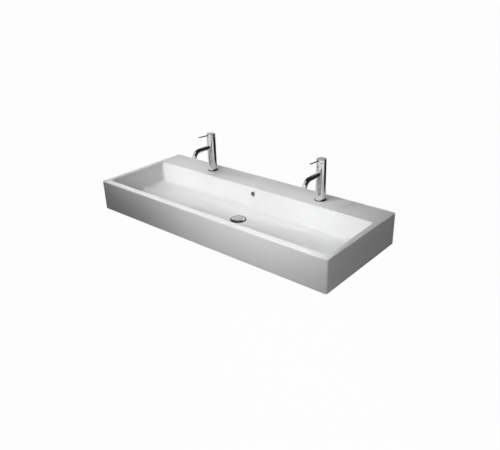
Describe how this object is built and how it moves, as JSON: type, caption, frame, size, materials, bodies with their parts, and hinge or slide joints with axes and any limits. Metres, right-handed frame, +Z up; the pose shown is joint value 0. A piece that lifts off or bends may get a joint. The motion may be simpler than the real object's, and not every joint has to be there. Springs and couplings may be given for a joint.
{
  "type": "washbasin",
  "caption": "Long rectangular wall-hung washbasin for two users, with lever mixer taps, a round overflow and a push-open waste.",
  "frame": {"origin": "on the back face, midway between the two wall fixing holes", "axes": "+X along the basin's width, +Y from the user into the wall, +Z up"},
  "size_m": [1.2, 0.47, 0.3661],
  "materials": {
    "ceramic_glaze": "glossy white glaze",
    "tap_chrome": "polished",
    "waste_chrome": "polished",
    "brass": "turned",
    "steel": "zinc plated",
    "rubber": "matt black",
    "cartridge_plastic": "moulded off-white",
    "aerator_plastic": "moulded grey",
    "disc_ceramic": "ground and lapped"
  },
  "bodies": {
    "root": {"basin": "ceramic_glaze", "waste_body": "waste_chrome", "waste_flange_seal": "rubber", "waste_lower_seal": "rubber", "waste_back_nut": "brass", "click_housing": "brass", "click_spring": "steel", "left_tap_body": "tap_chrome", "left_base_ring": "tap_chrome", "left_base_seal": "rubber", "left_spout": "tap_chrome", "left_aerator": "aerator_plastic", "left_cartridge_base": "cartridge_plastic", "left_cartridge_housing": "cartridge_plastic", "left_fixed_disc": "disc_ceramic", "left_cartridge_nut": "brass", "left_fixing_stud": "brass", "left_rubber_shoe": "rubber", "left_clamp_shoe": "steel", "left_stud_nut": "brass", "right_tap_body": "tap_chrome", "right_base_ring": "tap_chrome", "right_base_seal": "rubber", "right_spout": "tap_chrome", "right_aerator": "aerator_plastic", "right_cartridge_base": "cartridge_plastic", "right_cartridge_housing": "cartridge_plastic", "right_fixed_disc": "disc_ceramic", "right_cartridge_nut": "brass", "right_fixing_stud": "brass", "right_rubber_shoe": "rubber", "right_clamp_shoe": "steel", "right_stud_nut": "brass"},
    "left_turn": {"left_rotor": "cartridge_plastic", "left_pivot_pin": "steel"},
    "left_disc": {"left_moving_disc": "disc_ceramic", "left_disc_carrier": "cartridge_plastic"},
    "left_lift": {"left_stem": "steel", "left_lever_cap": "tap_chrome", "left_lever_pin": "tap_chrome", "left_grub_screw": "steel"},
    "right_turn": {"right_rotor": "cartridge_plastic", "right_pivot_pin": "steel"},
    "right_disc": {"right_moving_disc": "disc_ceramic", "right_disc_carrier": "cartridge_plastic"},
    "right_lift": {"right_stem": "steel", "right_lever_cap": "tap_chrome", "right_lever_pin": "tap_chrome", "right_grub_screw": "steel"},
    "plug": {"plug_cap": "waste_chrome", "plug_seal": "rubber", "plug_plunger": "steel"}
  },
  "joints": [
    {"name": "left_swivel", "type": "hinge", "parent": "root", "child": "left_turn", "pos_m": [-0.3, -0.065, 0.2212], "axis": [0, 0, 1], "range_deg": [-45, 45]},
    {"name": "left_lift", "type": "hinge", "parent": "left_turn", "child": "left_lift", "pos_m": [-0.3, -0.065, 0.2212], "axis": [-1, 0, 0], "range_deg": [0, 20]},
    {"name": "left_disc_slide", "type": "slide", "parent": "left_turn", "child": "left_disc", "axis": [0, -1, 0], "range_m": [0, 0.0033]},
    {"name": "right_swivel", "type": "hinge", "parent": "root", "child": "right_turn", "pos_m": [0.3, -0.065, 0.2212], "axis": [0, 0, 1], "range_deg": [-45, 45]},
    {"name": "right_lift", "type": "hinge", "parent": "right_turn", "child": "right_lift", "pos_m": [0.3, -0.065, 0.2212], "axis": [-1, 0, 0], "range_deg": [0, 20]},
    {"name": "right_disc_slide", "type": "slide", "parent": "right_turn", "child": "right_disc", "axis": [0, -1, 0], "range_m": [0, 0.0033]},
    {"name": "plug_slide", "type": "slide", "parent": "root", "child": "plug", "axis": [0, 0, 1], "range_m": [0, 0.008], "deforming": ["click_spring"]}
  ],
  "couplings": [
    {"joint": "left_disc_slide", "follows": "left_lift", "m_per_rad": 0.0094},
    {"joint": "right_disc_slide", "follows": "right_lift", "m_per_rad": 0.0094}
  ]
}
